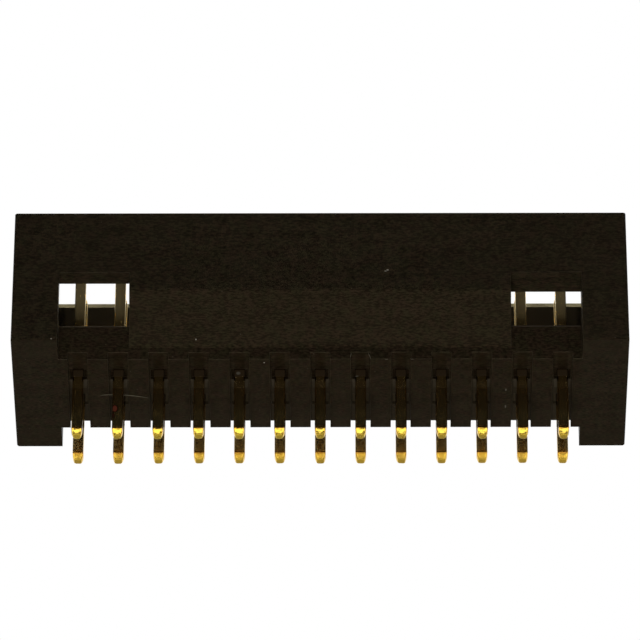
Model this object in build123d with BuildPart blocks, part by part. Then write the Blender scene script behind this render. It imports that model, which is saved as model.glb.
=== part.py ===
from build123d import *
import math
import os

os.makedirs("parts", exist_ok=True)

# A two-row shrouded pin header for a circuit board, in millimetres.
# Origin: middle of the board seating plane. X runs along the rows of posts,
# the front wall faces -Y, and the mating opening faces +Z.

# Contact grid
pitch = 2.54
row_pitch = 2.54
columns = 13
rows = 2

# Posts
post_width = 0.68
post_corner = 0.1
post_reach = 5.95
tail_reach = 4.48
tip_length = 0.56
tip_width = 0.44
tip_corner = 0.06
post_clearance = 0.01

# Housing body
end_gap = 1.21
end_wall = 2.9
end_relief = 0.45
cavity_width = 7.0
side_wall = 2.0
height = 10.2
base_height = 2.65
edge_radius = 0.18
foot_radius = 0.08

# Lower edge of the long side walls
wall_foot = 4.08
slope_foot = 0.92

# Windows at both ends of both side walls
window_width = 4.45
window_height = 5.38

# Lead-in round the rim of the cavity
leadin_across = 0.2
leadin_down = 0.45

# Polarising keyway inside the front wall, at its left end
keyway_width = 4.9
keyway_depth = 0.87

# Cleaning grooves under the base, and the pocket round each post
groove_width = 1.25
groove_depth = 0.54
pocket_width = 1.06
pocket_depth = 0.25

# Worked out from the sizes above
grid_length = (columns - 1) * pitch
foot_span = grid_length + 2 * end_gap
cavity_length = foot_span + 2 * end_relief
length = foot_span + 2 * end_wall
depth = cavity_width + 2 * side_wall
pocket_ceiling = groove_depth + pocket_depth
post_top = base_height + post_reach
hole_width = post_width + 2 * post_clearance
leadin_angle = math.degrees(math.atan2(leadin_across, leadin_down))
window_centre = (foot_span - window_width) / 2
wall_centre = (cavity_width + side_wall) / 2

column_places = [(i - (columns - 1) / 2) * pitch for i in range(columns)]
row_places = [(j - (rows - 1) / 2) * row_pitch for j in range(rows)]


with BuildPart() as housing:
    # Cross-section of the long body: base block and the two side walls
    with BuildSketch(Plane.YZ.offset(-foot_span / 2)):
        with BuildLine():
            Polyline(
                (0, 0),
                (cavity_width / 2, 0),
                (cavity_width / 2, slope_foot),
                (depth / 2, wall_foot),
                (depth / 2, height),
                (cavity_width / 2, height),
                (cavity_width / 2, base_height),
                (0, base_height),
                close=True,
            )
        make_face()
        mirror(about=Plane.YZ)
    extrude(amount=foot_span)

    # End walls, full height, standing on the board as feet
    end_place = (foot_span + end_wall) / 2
    with BuildSketch(Plane.XY):
        with Locations((-end_place, 0), (end_place, 0)):
            Rectangle(end_wall, depth)
    extrude(amount=height)

    # Rounded outer corners, then the rounded outline of both feet
    upright_edges = housing.edges().filter_by(Axis.Z).group_by(Axis.X)
    fillet(upright_edges[0] + upright_edges[-1], radius=edge_radius)
    board_edges = housing.edges().filter_by_position(Axis.Z, 0, 0)
    foot_outline = board_edges.filter_by(
        lambda edge: abs(edge.center().X) > length / 2 - edge_radius
        or abs(edge.center().Y) > depth / 2 - edge_radius
    )
    fillet(foot_outline, radius=foot_radius)

    # Windows cut from the board up, through both side walls at both ends
    with BuildSketch(Plane.XY):
        with GridLocations(2 * window_centre, 2 * wall_centre, 2, 2):
            Rectangle(window_width, side_wall)
    extrude(amount=window_height, mode=Mode.SUBTRACT)

    # Ends of the mating cavity, let into both end walls above the base
    with BuildSketch(Plane.XY.offset(base_height)):
        Rectangle(cavity_length, cavity_width)
    extrude(amount=height - base_height, mode=Mode.SUBTRACT)

    # Lead-in round the rim
    with BuildSketch(Plane.XY.offset(height)):
        Rectangle(cavity_length + 2 * leadin_across, cavity_width + 2 * leadin_across)
    extrude(amount=-leadin_down, taper=leadin_angle, mode=Mode.SUBTRACT)

    # Polarising keyway, open to the rim and to the left front window
    keyway_x = (keyway_width - cavity_length) / 2
    keyway_y = -(cavity_width + keyway_depth) / 2
    with BuildSketch(Plane.XY.offset(base_height)):
        with Locations((keyway_x, keyway_y)):
            Rectangle(keyway_width, keyway_depth)
    extrude(amount=height - base_height, mode=Mode.SUBTRACT)

    # Cleaning grooves under the base, one for each column of posts
    with BuildSketch(Plane.XY):
        with GridLocations(pitch, 0, columns, 1):
            Rectangle(groove_width, cavity_width)
    extrude(amount=groove_depth, mode=Mode.SUBTRACT)

    # Pocket round each post
    with BuildSketch(Plane.XY.offset(groove_depth)):
        with GridLocations(pitch, row_pitch, columns, rows):
            Rectangle(pocket_width, pocket_width)
    extrude(amount=pocket_depth, mode=Mode.SUBTRACT)

    # Square post holes through the base
    with BuildSketch(Plane.XY.offset(pocket_ceiling)):
        with GridLocations(pitch, row_pitch, columns, rows):
            Rectangle(hole_width, hole_width)
    extrude(amount=base_height - pocket_ceiling, mode=Mode.SUBTRACT)

housing.part.label = "housing"
export_step(housing.part, "parts/housing.step")


# Square posts with rounded corners and a taper at each end, row a in front
shaft_foot = tip_length - tail_reach
shaft_top = post_top - tip_length

for row_letter, y in zip("abcdef", row_places):
    for number, x in enumerate(column_places, start=1):
        post_name = f"post_{row_letter}{number:02d}"

        with BuildPart() as post:
            with BuildSketch(Plane((x, y, shaft_foot))):
                RectangleRounded(post_width, post_width, post_corner)
            extrude(amount=shaft_top - shaft_foot)

            # Tapers: tail tip below, mating tip above
            for near_end, far_end in ((shaft_foot, -tail_reach), (shaft_top, post_top)):
                with BuildSketch(Plane((x, y, near_end))):
                    RectangleRounded(post_width, post_width, post_corner)
                with BuildSketch(Plane((x, y, far_end))):
                    RectangleRounded(tip_width, tip_width, tip_corner)
                loft()

        post.part.label = post_name
        export_step(post.part, f"parts/{post_name}.step")
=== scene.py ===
import math

import bpy
import numpy as np
from mathutils import Matrix, Vector


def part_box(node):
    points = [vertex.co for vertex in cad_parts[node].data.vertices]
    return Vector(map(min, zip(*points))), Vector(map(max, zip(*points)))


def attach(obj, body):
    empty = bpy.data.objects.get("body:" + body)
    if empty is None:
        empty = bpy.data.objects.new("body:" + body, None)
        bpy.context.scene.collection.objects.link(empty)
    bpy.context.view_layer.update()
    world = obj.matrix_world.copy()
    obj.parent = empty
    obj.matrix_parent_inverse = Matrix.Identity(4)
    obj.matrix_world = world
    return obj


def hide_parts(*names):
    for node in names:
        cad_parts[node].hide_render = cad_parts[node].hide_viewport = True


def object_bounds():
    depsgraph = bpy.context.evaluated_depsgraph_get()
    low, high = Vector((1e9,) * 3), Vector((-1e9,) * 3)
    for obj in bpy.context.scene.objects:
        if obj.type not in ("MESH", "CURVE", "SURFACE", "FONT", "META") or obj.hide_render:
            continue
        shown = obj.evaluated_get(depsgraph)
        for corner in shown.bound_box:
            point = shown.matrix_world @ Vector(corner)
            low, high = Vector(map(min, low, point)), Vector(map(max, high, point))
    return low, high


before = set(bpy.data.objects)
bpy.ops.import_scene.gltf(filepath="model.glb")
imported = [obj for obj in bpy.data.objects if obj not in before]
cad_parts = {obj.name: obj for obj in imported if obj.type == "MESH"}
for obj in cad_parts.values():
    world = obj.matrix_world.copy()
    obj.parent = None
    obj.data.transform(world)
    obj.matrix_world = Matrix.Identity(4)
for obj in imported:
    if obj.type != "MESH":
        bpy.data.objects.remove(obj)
cad_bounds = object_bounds()

bl_info = {
    "name": "Shrouded pin header looks",
    "version": (1, 0, 0),
    "blender": (4, 5, 0),
    "location": "View3D > Sidebar > Pin header",
    "description": "Moulded plastic, gold posts, lint and studio for a shrouded pin header",
    "category": "Object",
}

MM = 0.001
POST_NODES = sorted(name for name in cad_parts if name.startswith("post_"))
PITCH = 2.54

# Marks seen on the part, in millimetres: centre, reach along each axis, strength
PALE_SPOTS = (
    ((4.12, -5.50, 5.47), (0.10, 0.10, 0.05), 0.8),
    ((4.25, -5.50, 5.56), (0.10, 0.10, 0.06), 1.0),
    ((-7.80, -3.78, 1.36), (0.06, 0.08, 0.06), 0.7),
    ((-16.80, -5.50, 0.08), (0.06, 0.08, 0.06), 0.7),
    ((-3.51, -3.14, 0.00), (0.06, 0.07, 0.05), 0.8),
    ((11.70, -0.34, 0.00), (0.06, 0.16, 0.05), 0.3),
    ((11.70, 1.37, 0.00), (0.06, 0.20, 0.05), 0.3),
    ((2.12, -1.66, 0.00), (0.09, 0.12, 0.30), 0.9),
)
FILM_SPOTS = (
    ((-5.16, -1.61, 0.36), (0.16, 0.08, 0.14), 0.8),
    ((2.30, -1.61, 0.10), (0.14, 0.08, 0.07), 0.8),
)
RED_SPOTS = (
    ((-12.88, -1.61, -2.44), (0.25, 0.13, 0.40), 0.75),
    ((-12.96, -1.61, -2.98), (0.13, 0.10, 0.26), 0.55),
)

# Stations from the end of a post to its shaft: share of the half width, height over the length
# of the tip, corner radius over the half width in the front row and in the squarer rear row
TIP_STATIONS = np.array(
    (
        (0.00, 0.000, 1.00, 1.00),
        (0.20, 0.003, 0.96, 0.93),
        (0.38, 0.008, 0.92, 0.80),
        (0.50, 0.017, 0.88, 0.68),
        (0.58, 0.033, 0.84, 0.60),
        (0.64, 0.058, 0.81, 0.54),
        (0.685, 0.095, 0.78, 0.50),
        (0.718, 0.143, 0.75, 0.47),
        (0.763, 0.232, 0.70, 0.44),
        (0.839, 0.411, 0.60, 0.40),
        (0.905, 0.589, 0.50, 0.37),
        (0.954, 0.768, 0.41, 0.34),
        (0.985, 0.946, 0.34, 0.31),
        (1.00, 1.214, 0.294, 0.294),
    )
)
TIP_LENGTH = 0.56 * MM

# Paths and radii in millimetres: a lint fibre across the underside, burrs at the groove mouths
FIBRE = (
    (-13.90, 0.16, -0.03),
    (-13.45, 0.07, -0.04),
    (-12.90, 0.05, -0.03),
    (-12.33, 0.13, -0.03),
    (-11.60, 0.20, -0.04),
    (-10.76, 0.45, -0.03),
)
BURRS = (
    ((1.92, -3.46, 0.02), (1.90, -3.49, 0.20), (1.94, -3.51, 0.36), (1.92, -3.50, 0.50)),
    ((3.16, -3.46, 0.02), (3.12, -3.50, 0.18), (3.06, -3.52, 0.34), (3.04, -3.51, 0.50)),
    ((4.05, -3.47, -0.01), (4.16, -3.49, -0.02), (4.26, -3.47, -0.01)),
    ((5.66, -3.47, 0.03), (5.75, -3.49, -0.01), (5.86, -3.47, -0.01)),
)
FIBRE_RADIUS = 0.036
BURR_RADIUS = 0.028
THREAD_STEPS = 60
THREAD_SIDES = 8

# Points round each corner of a post, and the share of the flat up to the next point
CORNER_STEPS = 8
FLAT_STEP = 0.15

# Seed of the chance that makes the ends of the posts uneven
SEED = 26

# Channel factors between which the body colour wanders, and its darkest and palest share
REDDISH = (1.08, 0.96, 1.0)
OLIVE = (0.94, 1.04, 0.94)
DARKEST, PALEST = 0.45, 1.55

# Tones of the housing's marks, the tint of its reflections, and the tones of lint and burrs
PALE_MARK_TONE = (0.034, 0.028, 0.019)
PALE_TONE = (0.20, 0.185, 0.15)
DUST_TONE, DUST_SHARE = (0.10, 0.09, 0.065), 0.4
PLASTIC_TINT = (1.0, 0.80, 0.48)
LINT_TONE = (0.058, 0.052, 0.036)
BURR_TONE = (0.040, 0.034, 0.022)

# Spans of raw patterns that become a full mask: turn of an edge, grain, dust and soft spots
EDGE_TURN = (0.01, 0.22)
GRAIN_TONE, GRAIN_HUE, GRAIN_GLOSS = (0.43, 0.57), (0.35, 0.65), (0.3, 0.7)
GRAIN_FINENESS = 16.0
DUST_DENSITY = 2.6
DUST_RARE, DUST_REACH = (0.90, 0.94), (0.10, 0.05)
SPOT_FADE = (1.0, 0.45)

# Regions of the housing: share of the tone each takes, that tone, and the ramps whose product is
# the region's mask. A ramp names a measure in millimetres, where it starts and where it is full,
# and may give its values there; a pair of ramps stands for the greater of the two. Several regions
# are painted light and shade: painted shade in the front pockets, painted light in the rear
# pockets, a painted shadow on the groove ceiling in front of each front post, painted light on the
# groove ceilings behind the front row, on the rear wall's face above the base and over the rear
# half of the underside, and a painted highlight on the base's edges along the side walls.
BETWEEN_ENDS = ("along", 16.6, 16.3)
WALL_FACE = ("across", 5.40, 5.48)
GROOVE_CEILING = (("z", 0.50, 0.53), ("z", 0.56, 0.55))
POCKET_DEPTH = (("z", 0.545, 0.57), ("z", 1.4, 1.2), BETWEEN_ENDS)
REGIONS = {
    "Block": (
        0.20,
        (0.004, 0.001, 0.0),
        (("across", 3.60, 3.51), ("z", 2.64, 2.62), BETWEEN_ENDS),
    ),
    "Walls": (0.22, (0.002, 0.001, 0.001), (WALL_FACE,)),
    "Wall ends": (
        0.13,
        (0.002, 0.002, 0.001),
        (WALL_FACE, (("along", 8.0, 15.0), ("z", 8.2, 5.8))),
    ),
    "Feet": (0.12, (0.004, 0.002, 0.001), (("along", 16.3, 16.6), ("z", 0.10, 0.06))),
    "Slope": (
        0.28,
        (0.0125, 0.0093, 0.0052),
        (("across", 3.55, 3.65), ("across", 5.45, 5.35), ("z", 4.3, 4.1)),
    ),
    # Painted shade in the pockets of the front row
    "Pocket": (
        0.45,
        (0.003, 0.001, 0.0),
        (("y", -1.86, -1.82), ("y", -0.70, -0.74), *POCKET_DEPTH),
    ),
    # Painted light in the pockets of the rear row
    "Rear pocket": (
        1.0,
        (0.030, 0.023, 0.013),
        (("y", 0.70, 0.74), ("y", 1.795, 1.785, 0.45, 1.0), ("y", 1.86, 1.82), *POCKET_DEPTH),
    ),
    # Painted shadow on the groove ceiling in front of each front post
    "Lee": (
        0.40,
        (0.004, 0.002, 0.001),
        (("column", 0.38, 0.28), ("y", -3.46, -3.40), ("y", -1.76, -1.80), *GROOVE_CEILING),
    ),
    # Painted light on the groove ceilings behind the front row
    "Ceiling": (
        0.36,
        (0.034, 0.027, 0.017),
        (("y", -0.76, -0.72), *GROOVE_CEILING, BETWEEN_ENDS),
    ),
    # Painted light on the rear wall's face above the base
    "Inside": (
        1.0,
        (0.063, 0.050, 0.032),
        (("y", 3.40, 3.45), ("y", 3.58, 3.53), ("z", 2.66, 2.72), BETWEEN_ENDS),
    ),
    # Painted light over the rear half of the underside, its ribs and grooves
    "Film": (
        0.12,
        (0.032, 0.026, 0.017),
        (("y", 0.4, 3.4), ("z", 1.2, 0.5), BETWEEN_ENDS),
    ),
    # Painted highlight on the base's edges along the side walls
    "Lip": (
        0.50,
        (0.062, 0.050, 0.038),
        (
            ("across", 3.42, 3.46),
            ("across", 3.60, 3.54),
            ("z", 2.57, 2.60),
            ("z", 2.67, 2.66),
            BETWEEN_ENDS,
        ),
    ),
}

# Pale marks on the groove ceilings behind the front posts: half width, how fast they narrow from
# a Y on, their start and end along Y, and the level of the groove ceiling
PALE_MARK_WIDTH = (0.58, 0.50)
PALE_MARK_NARROWING, PALE_MARK_FROM = 0.08, -0.74
PALE_MARK_START, PALE_MARK_END = (-0.78, -0.70), (0.14, 0.02)
PALE_MARK_LOW, PALE_MARK_HIGH = (0.46, 0.50), (0.62, 0.58)

# Zones of the posts along Z in millimetres, where each starts and where it is full, and the gap
# along Y between the front and the rear row
TAIL_TURN = (-3.70, -3.95)
TAIL_BARE = (-3.96, -4.10)
TAIL_COINED = (-3.88, -3.98)
TOP_TIP = (8.0, 8.1)
# Painted shade down the shafts of the front row, below the board face
FRONT_SHADE_LOW, FRONT_SHADE_HIGH = (-2.9, -2.3), (-0.6, -0.9)
# Painted reflection on the front row's shafts just under the board face
FRONT_SHEEN_ZONE = (-0.86, -0.78)
# Upper part of each shaft, painted a plastic-dark non-metal tone, and where that tone turns darker
# as painted shade in the pockets
UPPER_SHAFT_LOW, UPPER_SHAFT_HIGH = (0.100, 0.102), (2.6, 2.4)
UPPER_SHAFT_SHADE_TURN = (0.58, 0.66)
CAVITY_FLOOR = (2.5, 2.8)
ROW_GAP = (-0.2, 0.2)

# Tones of those zones and of the marks on the posts, and the share that a tone takes
TURN_TONE = (0.85, 0.43, 0.06)
DULL_TONE, DULL_SHARE = (0.30, 0.20, 0.10), 0.22
# Tone of the painted shade on the front row's shafts
FRONT_SHADE_TONE, FRONT_SHADE_SHARE = (0.32, 0.15, 0.04), 0.55
# Tone of the painted reflection under the board face
FRONT_SHEEN_TONE, FRONT_SHEEN_SHARE = (0.95, 0.80, 0.46), 0.5
# Plastic-dark tone of the upper shafts, then the darker painted shade in the pockets
UPPER_SHAFT_TONES = ((0.0180, 0.0115, 0.0057), (0.006, 0.003, 0.001))
FILM_TONE = (0.055, 0.048, 0.036)
RED_TONE = (0.080, 0.019, 0.010)

# Share of a matt film over the metal in the cavity, the rear row's shaft brightness over the front
# row's (painted light), its tip roughness over the front row's, and the strength of the dents in
# the tips, front and rear row
CAVITY_COVER = 0.09
REAR_SHAFT_LIGHT = 1.4
REAR_TIP = 1.55
DENT_DEPTHS = (28.0, 22.0)

# Studio that polished faces reflect: bands along the axes of a unit direction, and their levels
BEHIND_Y, BEHIND_Z = (0.12, 0.42), (-0.20, -0.05)
FRONT_Y, FRONT_LOW, FRONT_HIGH = (0.10, -0.10), (-0.06, 0.04), (0.50, 0.22)
FRONT_LEVEL = 2.1
ABOVE_Z = (0.88, 0.97)
ABOVE_LEVEL = 8.0
BELOW_Z = (-0.20, -0.40)
BELOW_Y, BELOW_LEVELS = (0.5, -0.1), (0.34, 0.60)
FLAG_LEVEL = 0.0145
WARM_TINT = (1.0, 0.88, 0.50)

# Lamps in metres: name, place, size and the setting that gives the power
LAMPS = (
    ("key_lamp", (-0.14, 0.24, 0.40), 0.30, "key_power"),
    ("under_lamp", (-0.008, -0.238, -0.320), 0.13, "under_power"),
)

# Gap between the tips of the tails and the floor
FLOOR_GAP = 0.02 * MM


class HEADER_PG_plastic(bpy.types.PropertyGroup):
    """Finish of the moulded housing."""

    body_colour: bpy.props.FloatVectorProperty(
        name="Body colour",
        description="Near-black, slightly warm moulding compound",
        subtype="COLOR",
        size=3,
        min=0.0,
        max=1.0,
        default=(0.0125, 0.0093, 0.0052),
    )
    # Rubbed edges in this tone also stand in as a painted highlight where edges catch light
    rubbed_and_highlight_colour: bpy.props.FloatVectorProperty(
        name="Rubbed and highlight colour",
        description="Paler tone where edges and ribs are rubbed, and painted highlight where edges catch light",
        subtype="COLOR",
        size=3,
        min=0.0,
        max=1.0,
        default=(0.060, 0.050, 0.032),
    )
    roughness: bpy.props.FloatProperty(
        name="Roughness",
        description="Mean roughness of the satin mould texture",
        subtype="FACTOR",
        min=0.0,
        max=1.0,
        default=0.40,
    )
    gloss: bpy.props.FloatProperty(
        name="Gloss",
        description="Strength of the plastic's reflections",
        subtype="FACTOR",
        min=0.0,
        max=1.0,
        default=0.05,
    )
    edge_round: bpy.props.FloatProperty(
        name="Edge round",
        description="Radius over which moulded edges catch the light",
        unit="LENGTH",
        subtype="DISTANCE",
        default=0.05 * MM,
    )


class HEADER_PG_posts(bpy.types.PropertyGroup):
    """Finish of the plated posts."""

    gold_colour: bpy.props.FloatVectorProperty(
        name="Gold colour",
        description="Bright plating seen head on",
        subtype="COLOR",
        size=3,
        min=0.0,
        max=1.0,
        default=(0.93, 0.66, 0.085),
    )
    rear_gold: bpy.props.FloatVectorProperty(
        name="Rear gold",
        description="Redder plating on the tips of the rear row",
        subtype="COLOR",
        size=3,
        min=0.0,
        max=1.0,
        default=(0.98, 0.66, 0.09),
    )
    shaft_colour: bpy.props.FloatVectorProperty(
        name="Shaft colour",
        description="Plating on the drawn shafts, thinner and browner than on the tips",
        subtype="COLOR",
        size=3,
        min=0.0,
        max=1.0,
        default=(0.66, 0.47, 0.17),
    )
    roughness: bpy.props.FloatProperty(
        name="Roughness",
        description="Mean roughness of the drawn and plated faces, front row",
        subtype="FACTOR",
        min=0.0,
        max=1.0,
        default=0.11,
    )
    rear_roughness: bpy.props.FloatProperty(
        name="Rear roughness",
        description="Mean roughness of the duller rear row",
        subtype="FACTOR",
        min=0.0,
        max=1.0,
        default=0.20,
    )
    tip_roughness: bpy.props.FloatProperty(
        name="Tip roughness",
        description="Roughness where the tail tips were coined",
        subtype="FACTOR",
        min=0.0,
        max=1.0,
        default=0.24,
    )
    unevenness: bpy.props.FloatProperty(
        name="Unevenness",
        description="How far the end of a post leans or shifts by chance",
        unit="LENGTH",
        subtype="DISTANCE",
        default=0.012 * MM,
    )


class HEADER_PG_camera(bpy.types.PropertyGroup):
    """Camera of the product view."""

    azimuth: bpy.props.FloatProperty(
        name="Azimuth",
        description="Turn of the camera round the upright axis, from straight in front",
        subtype="ANGLE",
        default=math.radians(0.356),
    )
    elevation: bpy.props.FloatProperty(
        name="Elevation",
        description="Height of the camera above the board plane, negative from below",
        subtype="ANGLE",
        default=math.radians(-38.534),
    )
    roll: bpy.props.FloatProperty(
        name="Roll",
        description="Turn of the camera about its own line of sight",
        subtype="ANGLE",
        default=math.radians(0.137),
    )
    distance: bpy.props.FloatProperty(
        name="Distance",
        description="From the camera to the point it looks at",
        unit="LENGTH",
        subtype="DISTANCE",
        default=442.24 * MM,
    )
    target: bpy.props.FloatVectorProperty(
        name="Target",
        description="Point that the camera looks at",
        subtype="TRANSLATION",
        unit="LENGTH",
        size=3,
        default=(-0.034 * MM, 0.0, 5.915 * MM),
    )
    lens: bpy.props.FloatProperty(
        name="Lens",
        description="Focal length on a sensor 36 mm wide, in millimetres",
        default=390.96,
    )


class HEADER_PG_studio(bpy.types.PropertyGroup):
    """Floor, lamps and surroundings."""

    floor_radius: bpy.props.FloatProperty(
        name="Floor radius",
        description="Radius of the pale floor",
        unit="LENGTH",
        subtype="DISTANCE",
        default=3.0,
    )
    floor_colour: bpy.props.FloatVectorProperty(
        name="Floor colour",
        description="Pale matt floor",
        subtype="COLOR",
        size=3,
        min=0.0,
        max=1.0,
        default=(0.86, 0.86, 0.85),
    )
    room_light: bpy.props.FloatProperty(
        name="Room light",
        description="Even light from all sides on matt surfaces",
        default=0.12,
    )
    under_power: bpy.props.FloatProperty(
        name="Under lamp power",
        description="Soft lamp below and in front of the part, on its underside",
        unit="POWER",
        default=1.70,
    )
    key_power: bpy.props.FloatProperty(
        name="Key lamp power",
        description="Soft lamp above the rear left of the part",
        unit="POWER",
        default=2.4,
    )


# Small helpers for node trees


def wire(tree, source, target):
    """Joins an output socket to an input socket."""
    tree.links.new(source, target)


def add_node(tree, kind, at=(0, 0), **values):
    """Makes a shader node; values are attributes of the node itself."""
    node = tree.nodes.new(kind)
    node.location = at
    for name, value in values.items():
        setattr(node, name, value)
    return node


def maths(tree, operation, first, second=None, clamp=False):
    """A Math node on sockets or plain numbers; returns its output."""
    node = add_node(tree, "ShaderNodeMath", operation=operation, use_clamp=clamp)
    for place, value in enumerate((first, second)):
        if value is None:
            continue
        if isinstance(value, (int, float)):
            node.inputs[place].default_value = value
        else:
            wire(tree, value, node.inputs[place])
    return node.outputs[0]


def product(tree, *factors):
    """Product of sockets and plain numbers."""
    total = factors[0]
    for factor in factors[1:]:
        total = maths(tree, "MULTIPLY", total, factor)
    return total


def largest(tree, *values):
    """Greatest of sockets and plain numbers."""
    total = values[0]
    for value in values[1:]:
        total = maths(tree, "MAXIMUM", total, value)
    return total


def scaled(colour, factor):
    """A colour times one factor, or times a factor for each channel."""
    return tuple(float(channel) for channel in np.multiply(colour, factor))


def ramp(tree, value, low, high, out_low=0.0, out_high=1.0, smooth=True):
    """Maps a value from low..high to out_low..out_high, held at both ends."""
    kind = "SMOOTHSTEP" if smooth else "LINEAR"
    node = add_node(tree, "ShaderNodeMapRange", interpolation_type=kind, clamp=True)
    wire(tree, value, node.inputs["Value"])
    for name, number in zip(
        ("From Min", "From Max", "To Min", "To Max"), (low, high, out_low, out_high)
    ):
        node.inputs[name].default_value = number
    return node.outputs["Result"]


def blend(tree, share, first, second):
    """Mixes two colours by share; a colour is a socket or a plain triple."""
    node = add_node(tree, "ShaderNodeMix", data_type="RGBA")
    if isinstance(share, (int, float)):
        node.inputs["Factor"].default_value = share
    else:
        wire(tree, share, node.inputs["Factor"])
    for name, value in (("A", first), ("B", second)):
        socket = next(s for s in node.inputs if s.name == name and s.type == "RGBA")
        if hasattr(value, "is_output"):
            wire(tree, value, socket)
        else:
            socket.default_value = (*value, 1.0)
    return next(s for s in node.outputs if s.type == "RGBA")


def noise(tree, vector, scale, detail=3.0, rough=0.55, stretch=None):
    """A noise value; stretch squeezes the pattern along each axis first."""
    if stretch is not None:
        squeeze = add_node(tree, "ShaderNodeVectorMath", operation="MULTIPLY")
        wire(tree, vector, squeeze.inputs[0])
        squeeze.inputs[1].default_value = stretch
        vector = squeeze.outputs[0]
    node = add_node(tree, "ShaderNodeTexNoise")
    wire(tree, vector, node.inputs["Vector"])
    node.inputs["Scale"].default_value = scale
    node.inputs["Detail"].default_value = detail
    node.inputs["Roughness"].default_value = rough
    return node.outputs["Fac"]


def millimetres(tree):
    """Object coordinates in millimetres, as a vector socket."""
    coordinate = add_node(tree, "ShaderNodeTexCoord", (-1400, 0))
    scale = add_node(tree, "ShaderNodeVectorMath", (-1200, 0), operation="SCALE")
    wire(tree, coordinate.outputs["Object"], scale.inputs[0])
    scale.inputs["Scale"].default_value = 1.0 / MM
    return scale.outputs[0]


def new_group(name, inputs, outputs):
    """An empty shader node group; inputs and outputs are name and socket type pairs."""
    group = bpy.data.node_groups.new(name, "ShaderNodeTree")
    for label, kind in inputs:
        group.interface.new_socket(label, in_out="INPUT", socket_type=kind)
    for label, kind in outputs:
        group.interface.new_socket(label, in_out="OUTPUT", socket_type=kind)
    entry = add_node(group, "NodeGroupInput", (-1600, 0))
    leave = add_node(group, "NodeGroupOutput", (800, 0))
    return group, entry, leave


def place_group(tree, group, **values):
    """Puts a node group in a tree; values are numbers or sockets for its inputs."""
    node = add_node(tree, "ShaderNodeGroup", node_tree=group)
    for label, value in values.items():
        socket = node.inputs[label.replace("_", " ")]
        if isinstance(value, (int, float)):
            socket.default_value = value
        else:
            wire(tree, value, socket)
    return node


def spots(tree, vector, marks):
    """Greatest of soft round masks; a mark is its centre, its reach on each axis, its strength."""
    masks = []
    for centre, reach, strength in marks:
        gap = add_node(tree, "ShaderNodeVectorMath", operation="SUBTRACT")
        wire(tree, vector, gap.inputs[0])
        gap.inputs[1].default_value = centre
        share = add_node(tree, "ShaderNodeVectorMath", operation="DIVIDE")
        wire(tree, gap.outputs[0], share.inputs[0])
        share.inputs[1].default_value = reach
        far = add_node(tree, "ShaderNodeVectorMath", operation="LENGTH")
        wire(tree, share.outputs[0], far.inputs[0])
        masks.append(ramp(tree, far.outputs["Value"], *SPOT_FADE, 0.0, strength))
    return largest(tree, *masks)


def apart(tree, vector):
    """The X, Y and Z sockets of a vector."""
    split = add_node(tree, "ShaderNodeSeparateXYZ")
    wire(tree, vector, split.inputs[0])
    return split.outputs


def from_column(tree, x):
    """Distance along X from the nearest column of posts, in millimetres."""
    turn = maths(tree, "FRACT", maths(tree, "ADD", maths(tree, "DIVIDE", x, PITCH), 0.5))
    return product(tree, maths(tree, "ABSOLUTE", maths(tree, "SUBTRACT", turn, 0.5)), PITCH)


def new_material(name):
    """A node material with its Principled shader."""
    material = bpy.data.materials.new(name)
    material.use_nodes = True
    shader = material.node_tree.nodes["Principled BSDF"]
    return material, material.node_tree, shader


def give(piece, material):
    """Puts one material in every slot of a piece."""
    if not piece.data.materials:
        piece.data.materials.append(material)
    for place in range(len(piece.data.materials)):
        piece.data.materials[place] = material


# Effects that the finishes share


def edge_group():
    """Where an edge is: the rounded normal turns away from the face's own one."""
    group, entry, leave = new_group(
        "Edge find",
        [("Radius", "NodeSocketFloat")],
        [("Edge", "NodeSocketFloat"), ("Round normal", "NodeSocketVector")],
    )
    bevel = add_node(group, "ShaderNodeBevel", samples=6)
    wire(group, entry.outputs["Radius"], bevel.inputs["Radius"])
    face = add_node(group, "ShaderNodeNewGeometry")
    dot = add_node(group, "ShaderNodeVectorMath", operation="DOT_PRODUCT")
    wire(group, bevel.outputs[0], dot.inputs[0])
    wire(group, face.outputs["True Normal"], dot.inputs[1])
    turned = maths(group, "SUBTRACT", 1.0, dot.outputs["Value"])
    wire(group, ramp(group, turned, *EDGE_TURN), leave.inputs["Edge"])
    wire(group, bevel.outputs[0], leave.inputs["Round normal"])
    return group


def grain_group():
    """Moulded skin: fine spark-eroded grain over broad flow marks along X."""
    group, entry, leave = new_group(
        "Mould grain",
        [("Vector", "NodeSocketVector"), ("Fineness", "NodeSocketFloat")],
        [
            ("Tone", "NodeSocketFloat"),
            ("Hue", "NodeSocketFloat"),
            ("Gloss", "NodeSocketFloat"),
            ("Height", "NodeSocketFloat"),
        ],
    )
    vector = entry.outputs["Vector"]
    fine = add_node(group, "ShaderNodeTexNoise")
    wire(group, vector, fine.inputs["Vector"])
    wire(group, entry.outputs["Fineness"], fine.inputs["Scale"])
    fine.inputs["Detail"].default_value = 4.0
    mottle = noise(group, vector, scale=1.16, detail=4.0, rough=0.62)
    flow = noise(group, vector, scale=1.0, detail=3.0, rough=0.6, stretch=(0.16, 2.4, 2.4))
    salt = noise(group, vector, scale=7.5, detail=2.0, rough=0.6, stretch=(0.5, 2.44, 1.1))
    hue = noise(group, vector, scale=1.9, detail=2.0, rough=0.5)
    broad = product(group, maths(group, "ADD", mottle, flow), 0.15)
    tone = maths(group, "ADD", broad, product(group, salt, 0.7))
    wire(group, ramp(group, tone, *GRAIN_TONE, smooth=False), leave.inputs["Tone"])
    wire(group, ramp(group, hue, *GRAIN_HUE), leave.inputs["Hue"])
    wire(group, ramp(group, mottle, *GRAIN_GLOSS), leave.inputs["Gloss"])
    height = maths(group, "ADD", fine.outputs["Fac"], product(group, flow, 0.6))
    wire(group, height, leave.inputs["Height"])
    return group


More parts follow.
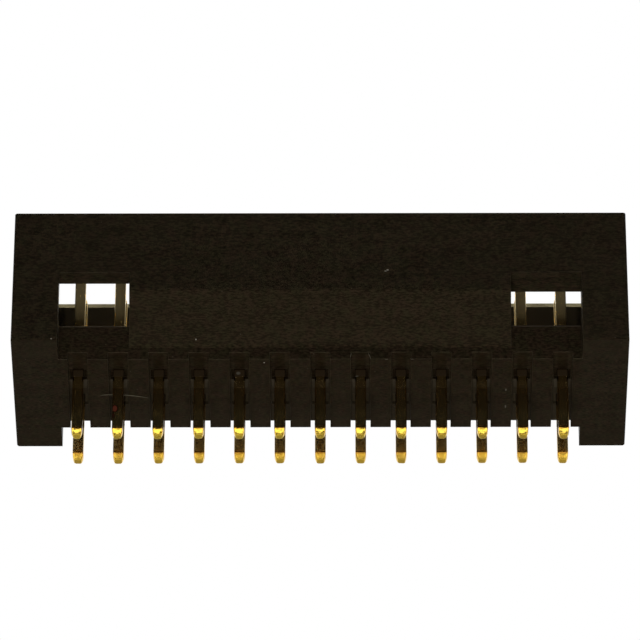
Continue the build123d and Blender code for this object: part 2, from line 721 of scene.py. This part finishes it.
def speck_group():
    """Sparse pale dust grains, each a small cell centre of a Voronoi pattern."""
    group, entry, leave = new_group(
        "Dust specks",
        [("Vector", "NodeSocketVector"), ("Density", "NodeSocketFloat")],
        [("Speck", "NodeSocketFloat")],
    )
    cells = add_node(group, "ShaderNodeTexVoronoi")
    wire(group, entry.outputs["Vector"], cells.inputs["Vector"])
    wire(group, entry.outputs["Density"], cells.inputs["Scale"])
    chosen = add_node(group, "ShaderNodeSeparateColor")
    wire(group, cells.outputs["Color"], chosen.inputs[0])
    rare = ramp(group, chosen.outputs[0], *DUST_RARE)
    near = ramp(group, cells.outputs["Distance"], *DUST_REACH)
    wire(group, product(group, rare, near), leave.inputs["Speck"])
    return group


def pale_mark_group():
    """Pale marks on the groove ceilings behind each post of the front row."""
    group, entry, leave = new_group(
        "Strain marks", [("Vector", "NodeSocketVector")], [("Strain", "NodeSocketFloat")]
    )
    vector = entry.outputs["Vector"]
    x, y, z = apart(group, vector)
    narrowing = product(group, maths(group, "SUBTRACT", y, PALE_MARK_FROM), PALE_MARK_NARROWING)
    beside = maths(group, "ADD", from_column(group, x), narrowing)
    patchy = noise(group, vector, scale=0.8, detail=2.0, rough=0.6)
    mask = product(
        group,
        ramp(group, beside, *PALE_MARK_WIDTH),
        ramp(group, y, *PALE_MARK_START),
        ramp(group, y, *PALE_MARK_END),
        ramp(group, z, *PALE_MARK_LOW),
        ramp(group, z, *PALE_MARK_HIGH),
        ramp(group, patchy, 0.38, 0.66, 0.45, 1.0),
    )
    wire(group, mask, leave.inputs["Strain"])
    return group


def region_group():
    """Parts of the moulding with a tone of their own, as masks, from the table of regions."""
    group, entry, leave = new_group(
        "Housing regions",
        [("Vector", "NodeSocketVector")],
        [(name, "NodeSocketFloat") for name in REGIONS],
    )
    x, y, z = apart(group, entry.outputs["Vector"])
    measures = {
        "y": y,
        "z": z,
        "across": maths(group, "ABSOLUTE", y),
        "along": maths(group, "ABSOLUTE", x),
        "column": from_column(group, x),
    }
    made = {}

    def mask_of(bound):
        if bound not in made:
            if isinstance(bound[0], tuple):
                made[bound] = largest(group, *map(mask_of, bound))
            else:
                made[bound] = ramp(group, measures[bound[0]], *bound[1:])
        return made[bound]

    for name, (_, _, bounds) in REGIONS.items():
        wire(group, product(group, *map(mask_of, bounds)), leave.inputs[name])
    return group


def finish_plastic():
    """Near-black moulding compound: flow marks, rubbed edges with a painted highlight, a little
    dust, painted light and shade.
    """
    plastic = bpy.context.scene.header_plastic
    material, tree, shader = new_material("housing_plastic")
    place = millimetres(tree)
    edge = place_group(tree, edge_group(), Radius=plastic.edge_round)
    grain = place_group(tree, grain_group(), Vector=place, Fineness=GRAIN_FINENESS)
    dust = place_group(tree, speck_group(), Vector=place, Density=DUST_DENSITY)
    pale_marked = place_group(tree, pale_mark_group(), Vector=place)
    region = place_group(tree, region_group(), Vector=place)

    body = tuple(plastic.body_colour)
    reddish, olive = scaled(body, REDDISH), scaled(body, OLIVE)
    dark, pale = (
        blend(tree, grain.outputs["Hue"], scaled(reddish, share), scaled(olive, share))
        for share in (DARKEST, PALEST)
    )
    colour = blend(tree, grain.outputs["Tone"], dark, pale)
    patchy = noise(tree, place, scale=1.3, detail=3.0, rough=0.6)
    # Edges take a patchy paler tone: rubbed wear and a painted highlight
    worn_and_highlit = product(tree, edge.outputs["Edge"], ramp(tree, patchy, 0.40, 0.62, 0.45, 1.0))
    colour = blend(tree, worn_and_highlit, colour, tuple(plastic.rubbed_and_highlight_colour))
    # Region tones, among them painted shade, painted shadow, painted light and a painted edge
    # highlight
    for name, (share, tone, _) in REGIONS.items():
        colour = blend(tree, product(tree, region.outputs[name], share), colour, tone)
    colour = blend(tree, pale_marked.outputs["Strain"], colour, PALE_MARK_TONE)
    colour = blend(tree, spots(tree, place, PALE_SPOTS), colour, PALE_TONE)
    colour = blend(tree, product(tree, dust.outputs["Speck"], DUST_SHARE), colour, DUST_TONE)
    wire(tree, colour, shader.inputs["Base Color"])
    shader.inputs["Specular IOR Level"].default_value = plastic.gloss
    shader.inputs["Specular Tint"].default_value = (*PLASTIC_TINT, 1.0)

    low, high = plastic.roughness - 0.06, plastic.roughness + 0.08
    wire(tree, ramp(tree, grain.outputs["Gloss"], 0.0, 1.0, high, low), shader.inputs["Roughness"])
    bump = add_node(tree, "ShaderNodeBump")
    bump.inputs["Strength"].default_value = 0.25
    bump.inputs["Distance"].default_value = 0.01 * MM
    wire(tree, grain.outputs["Height"], bump.inputs["Height"])
    wire(tree, edge.outputs["Round normal"], bump.inputs["Normal"])
    wire(tree, bump.outputs["Normal"], shader.inputs["Normal"])
    return material


def finish_gold():
    """Gold plating over drawn wire: bright tips, browner shafts and fine lines along Z.

    A tail turns orange just above its bright tip. The front row has painted shade down its shafts
    and a painted reflection close under the board face; the rear row's shafts carry painted light.
    From just above the board face up into the base both rows are painted a plastic-dark, non-metal
    tone, darker again in the pockets as painted shade.
    """
    posts = bpy.context.scene.header_posts
    material, tree, shader = new_material("post_metal")
    place = millimetres(tree)
    _, y, z = apart(tree, place)

    def by_row(front, rear):
        return ramp(tree, y, *ROW_GAP, front, rear)

    def in_zone(zone, *levels):
        return ramp(tree, z, *zone, *levels)

    lines = noise(tree, place, scale=6.0, detail=4.0, rough=0.6, stretch=(3.2, 3.2, 0.22))
    cloud = noise(tree, place, scale=1.6, detail=3.0, rough=0.6)
    shaft = tuple(posts.shaft_colour)
    gold = blend(tree, by_row(0.0, 1.0), tuple(posts.gold_colour), tuple(posts.rear_gold))
    # The rear row's shafts are painted lighter: painted light
    drawn = blend(tree, by_row(0.0, 1.0), shaft, scaled(shaft, REAR_SHAFT_LIGHT))
    turned = blend(tree, in_zone(TAIL_TURN), drawn, TURN_TONE)
    bare = largest(tree, in_zone(TAIL_BARE), in_zone(TOP_TIP))
    bright = blend(tree, bare, turned, gold)
    dull = blend(tree, DULL_SHARE, bright, DULL_TONE)
    colour = blend(tree, ramp(tree, cloud, 0.38, 0.68), bright, dull)
    # Painted shade down the front row's shafts
    front_shade = product(tree, in_zone(FRONT_SHADE_LOW), in_zone(FRONT_SHADE_HIGH), by_row(FRONT_SHADE_SHARE, 0.0))
    colour = blend(tree, front_shade, colour, FRONT_SHADE_TONE)
    # Painted reflection on the front row just under the board face
    front_sheen = product(tree, in_zone(FRONT_SHEEN_ZONE), by_row(FRONT_SHEEN_SHARE, 0.0))
    colour = blend(tree, front_sheen, colour, FRONT_SHEEN_TONE)
    # Upper shafts painted plastic-dark and not metal, darker higher up as painted shade in the
    # pockets
    upper_shaft = product(tree, in_zone(UPPER_SHAFT_LOW), in_zone(UPPER_SHAFT_HIGH))
    colour = blend(tree, upper_shaft, colour, blend(tree, in_zone(UPPER_SHAFT_SHADE_TURN), *UPPER_SHAFT_TONES))
    film = spots(tree, place, FILM_SPOTS)
    colour = blend(tree, ramp(tree, film, 0.0, 0.4), colour, FILM_TONE)
    oxide = spots(tree, place, RED_SPOTS)
    colour = blend(tree, ramp(tree, oxide, 0.0, 0.4), colour, RED_TONE)
    wire(tree, colour, shader.inputs["Base Color"])
    marked = ramp(tree, largest(tree, oxide, film), 0.4, 0.9)
    # Share that is not metal: the marks, the plastic-dark upper shafts and the film in the cavity
    non_metal_share = largest(tree, marked, upper_shaft, in_zone(CAVITY_FLOOR, 0.0, CAVITY_COVER))
    wire(tree, maths(tree, "SUBTRACT", 1.0, non_metal_share), shader.inputs["Metallic"])
    shader.inputs["Specular IOR Level"].default_value = 0.1

    coined = largest(tree, in_zone(TAIL_COINED), in_zone(TOP_TIP))
    row = by_row(posts.roughness, posts.rear_roughness)
    tip = by_row(posts.tip_roughness, REAR_TIP * posts.tip_roughness)
    worked = largest(tree, row, product(tree, coined, tip))
    streak = ramp(tree, lines, 0.35, 0.7, -0.03, 0.06)
    wire(tree, maths(tree, "ADD", worked, streak), shader.inputs["Roughness"])
    bump = add_node(tree, "ShaderNodeBump")
    bump.inputs["Strength"].default_value = 1.0
    bump.inputs["Distance"].default_value = 0.001 * MM
    struck = noise(tree, place, scale=4.5, detail=1.0, rough=0.4)
    dents = product(tree, coined, struck, by_row(*DENT_DEPTHS))
    wire(tree, maths(tree, "ADD", product(tree, lines, 0.2), dents), bump.inputs["Height"])
    wire(tree, bump.outputs["Normal"], shader.inputs["Normal"])
    return material


# Pieces


def new_piece(name, points, faces, material):
    """A smooth-shaded mesh piece with its place in the mesh; faces are rows of point numbers."""
    mesh = bpy.data.meshes.new(name)
    mesh.from_pydata(points.tolist(), [], faces)
    mesh.materials.append(material)
    mesh.shade_smooth()
    piece = bpy.data.objects.new(name, mesh)
    bpy.context.scene.collection.objects.link(piece)
    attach(piece, "root")
    return piece


def tube_faces(rings, around, caps=True):
    """Quads between closed rings of points, facing outwards, and a cap on both ends if asked."""
    ring = np.arange(rings - 1)[:, None] * around
    here = np.arange(around)[None, :]
    after = np.roll(here, -1, axis=1)
    quads = np.stack((ring + here, ring + after, ring + around + after, ring + around + here), -1)
    faces = quads.reshape(-1, 4).tolist()
    if caps:
        faces.append(np.arange(around)[::-1].tolist())
        faces.append((np.arange(around) + (rings - 1) * around).tolist())
    return faces


def plated_post(node, random):
    """Points and faces of one post.

    A ring at half width w and corner radius q w runs through the rounded square
    p = (w - q w) (sx, sy) + q w (cos t, sin t), with t turning through 90 degrees at each corner
    and one more point on the flat at each side of the corner. The stations give w, q and the
    height z; both tips end in a shallow dome that leans a little.
    """
    low, high = (np.array(corner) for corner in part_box(node))
    centre = (low + high)[:2] / 2
    half = (high - low)[0] / 2
    unevenness = bpy.context.scene.header_posts.unevenness

    def both_tips(column):
        return np.concatenate((column, column[::-1]))

    share, rise, front_corner, rear_corner = TIP_STATIONS.T
    corner = front_corner if centre[1] < 0.0 else rear_corner
    tail_z = low[2] + rise * TIP_LENGTH
    top_z = high[2] - rise * TIP_LENGTH
    heights = np.concatenate((tail_z, top_z[::-1]))
    widths = half * both_tips(share)
    radius = widths * both_tips(corner)

    quarter = np.arange(4)[:, None]
    turn = (quarter + np.linspace(0.0, 1.0, CORNER_STEPS)[None, :]) * np.pi / 2
    arc = np.stack((np.cos(turn), np.sin(turn)), -1)
    tangent = np.stack((-np.sin(turn), np.cos(turn)), -1)
    lead = np.zeros((4, CORNER_STEPS + 2, 2))
    lead[:, 0] = -tangent[:, 0]
    lead[:, -1] = tangent[:, -1]
    arc = np.concatenate((arc[:, :1], arc, arc[:, -1:]), axis=1)
    middle = (quarter + 0.5) * np.pi / 2
    sign = np.sign(np.stack((np.cos(middle), np.sin(middle)), -1))

    flat = (widths - radius)[:, None, None, None]
    bend = radius[:, None, None, None]
    rings = flat * sign + bend * arc + FLAT_STEP * flat * lead
    points = rings.reshape(len(heights), -1, 2)

    ends = np.clip(1.0 - both_tips(rise), 0.0, 1.0)[:, None]
    lean = random.normal(0.0, 1.0, (2, 2))
    shift = random.normal(0.0, 1.0, (2, 2))
    upper = (np.arange(len(heights)) >= len(rise)).astype(int)
    slope = np.einsum("nkc,nc->nk", points / half, lean[upper])
    slope = (slope - slope.min()) * ends**4
    height = heights[:, None] + np.where(upper, -1.0, 1.0)[:, None] * unevenness * slope
    points = points + unevenness * ends[:, :, None] * np.clip(shift, -1.2, 1.2)[upper][:, None, :]
    points = np.concatenate((points + centre, height[:, :, None]), axis=2)
    points[..., 2] = np.clip(points[..., 2], low[2], high[2])
    around = points.shape[1]
    return points.reshape(-1, 3), tube_faces(len(heights), around, caps=False)


def thread(path, radius):
    """A round thread along a path of points.

    p(s, t) = path(s) + r(s) (cos t n + sin t b), with r(s) = R (1/4 + 3/4 sin(pi s)^0.8), so it
    tapers towards both ends.
    """
    path = np.array(path, dtype=float) * MM
    knots = np.linspace(0.0, 1.0, len(path))
    s = np.linspace(0.0, 1.0, THREAD_STEPS)
    weights = np.polynomial.polynomial.polyfit(knots, path, min(4, len(path) - 1))
    line = np.polynomial.polynomial.polyval(s, weights).T
    ahead = np.gradient(line, axis=0)
    ahead /= np.linalg.norm(ahead, axis=1)[:, None]
    side = np.cross(ahead, (0.0, 0.0, 1.0))
    side /= np.linalg.norm(side, axis=1)[:, None]
    over = np.cross(ahead, side)
    t = np.linspace(0.0, 2.0 * np.pi, THREAD_SIDES, endpoint=False)[None, :, None]
    swell = radius * MM * (0.25 + 0.75 * np.sin(np.pi * s) ** 0.8)
    spoke = np.cos(t) * side[:, None, :] - np.sin(t) * over[:, None, :]
    points = line[:, None, :] + swell[:, None, None] * spoke
    return points.reshape(-1, 3), tube_faces(THREAD_STEPS, THREAD_SIDES)


def flat_finish(name, colour, roughness):
    """A plain matt finish whose colour wanders a little."""
    material, tree, shader = new_material(name)
    cloud = noise(tree, millimetres(tree), scale=5.0, detail=2.0, rough=0.5)
    tone = blend(tree, cloud, scaled(colour, 0.6), scaled(colour, 1.4))
    wire(tree, tone, shader.inputs["Base Color"])
    shader.inputs["Roughness"].default_value = roughness
    shader.inputs["Specular IOR Level"].default_value = 0.2
    return material


# Studio


def aim(azimuth, elevation, roll):
    """Unit vectors of a camera: where it stands from its target, its right and its up."""
    stand = Vector(
        (
            math.sin(azimuth) * math.cos(elevation),
            -math.cos(azimuth) * math.cos(elevation),
            math.sin(elevation),
        )
    )
    right = (-stand).cross(Vector((0, 0, 1))).normalized()
    up = right.cross(-stand)
    turned_right = math.cos(roll) * right + math.sin(roll) * up
    turned_up = -math.sin(roll) * right + math.cos(roll) * up
    return stand, turned_right, turned_up


def place_camera():
    """The product camera, below and in front of the part, looking up at its underside."""
    view = bpy.context.scene.header_camera
    stand, right, up = aim(view.azimuth, view.elevation, view.roll)
    lens = bpy.data.cameras.new("product_camera")
    lens.lens = view.lens
    lens.sensor_width = 36.0
    lens.clip_start = 0.01
    lens.clip_end = 20.0
    camera = bpy.data.objects.new("product_camera", lens)
    turn = Matrix((right, up, stand)).transposed().to_4x4()
    camera.matrix_world = Matrix.Translation(Vector(view.target) + view.distance * stand) @ turn
    bpy.context.scene.collection.objects.link(camera)
    bpy.context.scene.camera = camera


def lay_floor():
    """A pale disc under the tips of the tails: r(s) = R s, seen from above only."""
    studio = bpy.context.scene.header_studio
    rings, spokes = 3, 64
    radius = studio.floor_radius * np.linspace(0.0, 1.0, rings)[1:, None]
    angle = np.linspace(0.0, 2.0 * np.pi, spokes, endpoint=False)[None, :]
    height = cad_bounds[0][2] - FLOOR_GAP
    points = np.stack(
        (radius * np.cos(angle), radius * np.sin(angle), np.full((rings - 1, spokes), height)), -1
    ).reshape(-1, 3)
    points = np.vstack((points, (0.0, 0.0, height)))
    centre = len(points) - 1
    here = np.arange(spokes)
    after = np.roll(here, -1)
    inner = np.stack((here, after, np.full(spokes, centre)), -1)
    outer = np.stack((here, here + spokes, after + spokes, after), -1)
    mesh = bpy.data.meshes.new("floor")
    mesh.from_pydata(points.tolist(), [], inner.tolist() + outer.tolist())
    floor = bpy.data.objects.new("floor", mesh)
    bpy.context.scene.collection.objects.link(floor)

    material, tree, shader = new_material("pale_floor")
    shader.inputs["Base Color"].default_value = (*studio.floor_colour, 1.0)
    shader.inputs["Roughness"].default_value = 0.9
    shader.inputs["Specular IOR Level"].default_value = 0.1
    clear = add_node(tree, "ShaderNodeBsdfTransparent")
    side = add_node(tree, "ShaderNodeNewGeometry")
    mix = add_node(tree, "ShaderNodeMixShader")
    wire(tree, side.outputs["Backfacing"], mix.inputs["Fac"])
    wire(tree, shader.outputs[0], mix.inputs[1])
    wire(tree, clear.outputs[0], mix.inputs[2])
    wire(tree, mix.outputs[0], tree.nodes["Material Output"].inputs["Surface"])
    give(floor, material)
    floor.visible_shadow = False
    floor.visible_diffuse = False
    floor.visible_glossy = False


def light_room():
    """The surroundings: white to the eye, a studio with dark flags to polished faces."""
    studio = bpy.context.scene.header_studio
    world = bpy.data.worlds.new("studio")
    world.use_nodes = True
    tree = world.node_tree
    shader = tree.nodes["Background"]
    way = add_node(tree, "ShaderNodeTexCoord").outputs["Generated"]

    _, y, z = apart(tree, way)
    behind = product(tree, ramp(tree, y, *BEHIND_Y), ramp(tree, z, *BEHIND_Z))
    band = product(tree, ramp(tree, z, *FRONT_LOW), ramp(tree, z, *FRONT_HIGH))
    front = product(tree, ramp(tree, y, *FRONT_Y), band, FRONT_LEVEL)
    above = ramp(tree, z, *ABOVE_Z)
    below = product(tree, ramp(tree, z, *BELOW_Z), ramp(tree, y, *BELOW_Y, *BELOW_LEVELS))
    glow = largest(tree, behind, front, below, FLAG_LEVEL, product(tree, above, ABOVE_LEVEL))

    ray = add_node(tree, "ShaderNodeLightPath")
    glossy = ray.outputs["Is Glossy Ray"]
    polished = product(tree, glossy, glow)
    matt = product(tree, maths(tree, "SUBTRACT", 1.0, glossy), studio.room_light)
    seen = largest(tree, ray.outputs["Is Camera Ray"], maths(tree, "ADD", polished, matt))
    wire(tree, seen, shader.inputs["Strength"])
    warm = product(tree, largest(tree, above, below), glossy)
    wire(tree, blend(tree, warm, (1.0, 1.0, 1.0), WARM_TINT), shader.inputs["Color"])
    world.cycles.sampling_method = "NONE"
    bpy.context.scene.world = world


def hang_lamp(name, place, size, power):
    """A square soft lamp at a place, facing the part."""
    light = bpy.data.lights.new(name, "AREA")
    light.shape = "SQUARE"
    light.size = size
    light.energy = power
    lamp = bpy.data.objects.new(name, light)
    lamp.location = place
    lamp.rotation_euler = Vector(place).to_track_quat("Z", "Y").to_euler()
    lamp.visible_glossy = False
    lamp.visible_camera = False
    bpy.context.scene.collection.objects.link(lamp)


class HEADER_OT_finish_housing(bpy.types.Operator):
    """Give the moulded housing its plastic"""

    bl_idname = "header.finish_housing"
    bl_label = "Finish the housing"

    def execute(self, context):
        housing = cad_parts["housing"]
        give(housing, finish_plastic())
        return {"FINISHED"}


class HEADER_OT_finish_posts(bpy.types.Operator):
    """Plate all the posts"""

    bl_idname = "header.finish_posts"
    bl_label = "Plate the posts"

    def execute(self, context):
        if not POST_NODES:
            raise RuntimeError("the frame has no posts")
        gold = finish_gold()
        random = np.random.default_rng(SEED)
        for name in POST_NODES:
            give(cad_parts[name], gold)
            piece = new_piece(name.replace("post", "plated"), *plated_post(name, random), gold)
            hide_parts(name)
        return {"FINISHED"}


class HEADER_OT_add_lint(bpy.types.Operator):
    """Lay the lint and the small mould burrs on the housing"""

    bl_idname = "header.add_lint"
    bl_label = "Add lint and burrs"

    def execute(self, context):
        lint = flat_finish("lint", LINT_TONE, roughness=0.8)
        burr = flat_finish("burr", BURR_TONE, roughness=0.5)
        threads = [("lint_fibre", FIBRE, FIBRE_RADIUS, lint)]
        for number, path in enumerate(BURRS, start=1):
            threads.append((f"burr_{number}", path, BURR_RADIUS, burr))
        for name, path, radius, material in threads:
            piece = new_piece(name, *thread(path, radius), material)
        return {"FINISHED"}


class HEADER_OT_set_stage(bpy.types.Operator):
    """Lay the floor, hang the lamps and place the camera"""

    bl_idname = "header.set_stage"
    bl_label = "Set the stage"

    def execute(self, context):
        studio = context.scene.header_studio
        context.scene.view_settings.view_transform = "Standard"
        lay_floor()
        light_room()
        for name, place, size, power in LAMPS:
            hang_lamp(name, place, size, getattr(studio, power))
        place_camera()
        return {"FINISHED"}


class HEADER_PT_panel(bpy.types.Panel):
    """Lists the steps that dress the pin header"""

    bl_idname = "HEADER_PT_panel"
    bl_label = "Pin header"
    bl_space_type = "VIEW_3D"
    bl_region_type = "UI"
    bl_category = "Pin header"

    def draw(self, context):
        for settings in ("header_plastic", "header_posts", "header_camera", "header_studio"):
            group = getattr(context.scene, settings)
            box = self.layout.box()
            for name in group.__annotations__:
                box.prop(group, name)
        for step in STEPS:
            self.layout.operator(step.bl_idname)


GROUPS = {
    "header_plastic": HEADER_PG_plastic,
    "header_posts": HEADER_PG_posts,
    "header_camera": HEADER_PG_camera,
    "header_studio": HEADER_PG_studio,
}
STEPS = (
    HEADER_OT_finish_housing,
    HEADER_OT_finish_posts,
    HEADER_OT_add_lint,
    HEADER_OT_set_stage,
)


def register():
    """Registers the classes and hangs the settings on the scene."""
    for kind in (*GROUPS.values(), *STEPS, HEADER_PT_panel):
        bpy.utils.register_class(kind)
    for name, kind in GROUPS.items():
        setattr(bpy.types.Scene, name, bpy.props.PointerProperty(type=kind))


def unregister():
    """Takes the settings and the classes away again."""
    for name in GROUPS:
        delattr(bpy.types.Scene, name)
    for kind in reversed((*GROUPS.values(), *STEPS, HEADER_PT_panel)):
        bpy.utils.unregister_class(kind)


def main():
    """Runs every step in order."""
    register()
    bpy.ops.header.finish_housing()
    bpy.ops.header.finish_posts()
    bpy.ops.header.add_lint()
    bpy.ops.header.set_stage()


if __name__ == "__main__":
    main()
